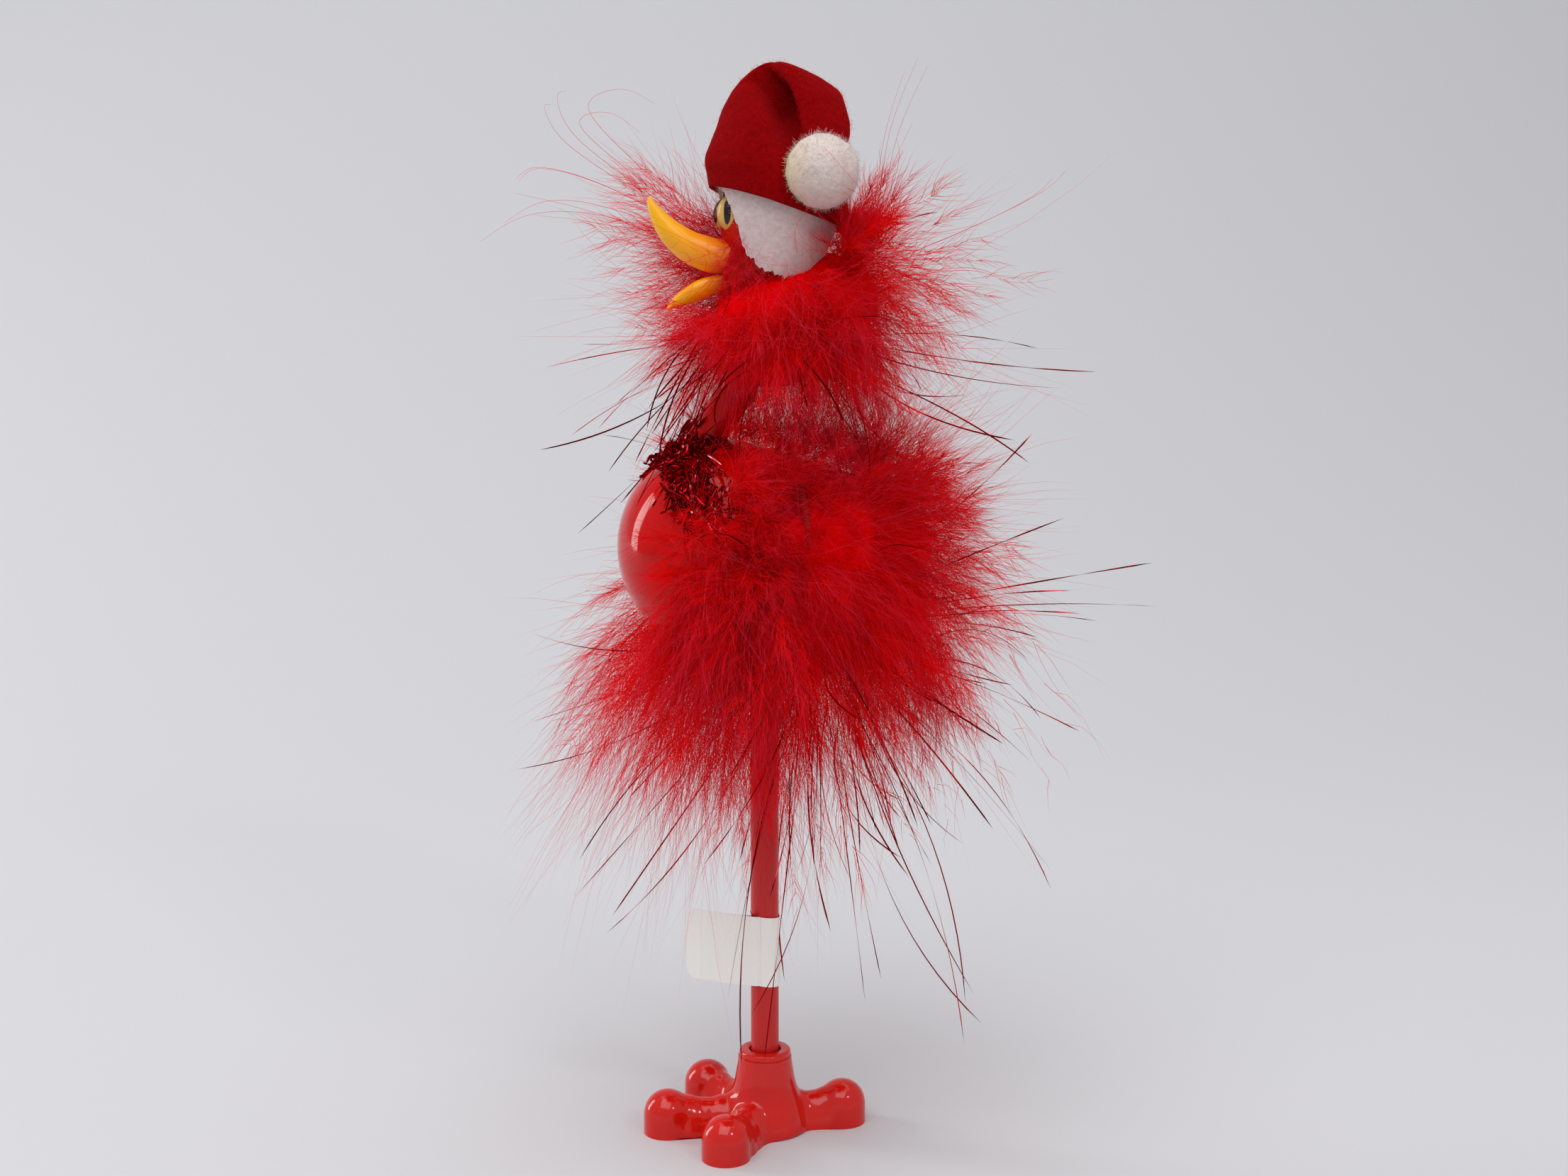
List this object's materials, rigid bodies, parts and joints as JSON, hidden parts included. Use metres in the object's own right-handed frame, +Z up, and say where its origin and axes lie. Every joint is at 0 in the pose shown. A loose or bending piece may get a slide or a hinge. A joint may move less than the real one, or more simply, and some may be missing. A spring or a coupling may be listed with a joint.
{
  "type": "novelty bird pen with foot stand",
  "caption": "Ballpoint pen shaped as a feathered bird in a felt party hat, standing upright on its red leg in a bird-foot stand.",
  "frame": {"origin": "on the leg's axis in the plane on which the foot stand rests", "axes": "+Z up along the pen's leg, -X the way the bird and the front toe face, -Y the bird's left side, where the pompom hangs"},
  "size_m": [0.1511, 0.122, 0.2453],
  "materials": {
    "red_gloss_plastic": "gloss",
    "red_satin_plastic": "satin",
    "body_gloss_plastic": "gloss",
    "refill_polypropylene": "satin",
    "ink_paste": "gloss",
    "tip_brass": "polished",
    "ball_steel": "polished",
    "eye_cream_plastic": "gloss",
    "beak_orange_plastic": "gloss",
    "red_felt": "matte",
    "white_felt": "matte",
    "pompom_pile": "matte",
    "red_cotton_cord": "matte",
    "red_down": "matte",
    "red_tinsel": "polished",
    "white_paper": "satin"
  },
  "bodies": {
    "stand": {"foot_stand": "red_gloss_plastic"},
    "refill": {"refill_tube": "refill_polypropylene", "refill_ink": "ink_paste", "refill_tip": "tip_brass", "writing_ball": "ball_steel"},
    "bird": {"pen_barrel": "red_satin_plastic", "nose_cone": "red_satin_plastic", "barrel_plug": "red_satin_plastic", "body_shell_left": "body_gloss_plastic", "body_shell_right": "body_gloss_plastic", "neck_stem": "body_gloss_plastic", "head_shell_left": "body_gloss_plastic", "head_shell_right": "body_gloss_plastic", "eye_left": "eye_cream_plastic", "eye_right": "eye_cream_plastic", "upper_beak": "beak_orange_plastic", "lower_beak": "beak_orange_plastic", "hat_cone": "red_felt", "hat_band": "white_felt", "hat_pompom": "pompom_pile", "neck_boa_cord": "red_cotton_cord", "neck_boa_feathers": "red_down", "neck_tinsel": "red_tinsel", "neck_base_tinsel": "red_tinsel", "body_boa_cord": "red_cotton_cord", "body_boa_feathers": "red_down", "body_tinsel": "red_tinsel", "label_flag": "white_paper"}
  },
  "joints": [
    {"name": "pen_lift", "type": "slide", "parent": "stand", "child": "refill", "axis": [0, 0, 1], "range_m": [0, 0.03]},
    {"name": "pen_turn", "type": "hinge", "parent": "refill", "child": "bird", "pos_m": [0, 0, 0.05], "axis": [0, 0, 1], "continuous": true}
  ]
}
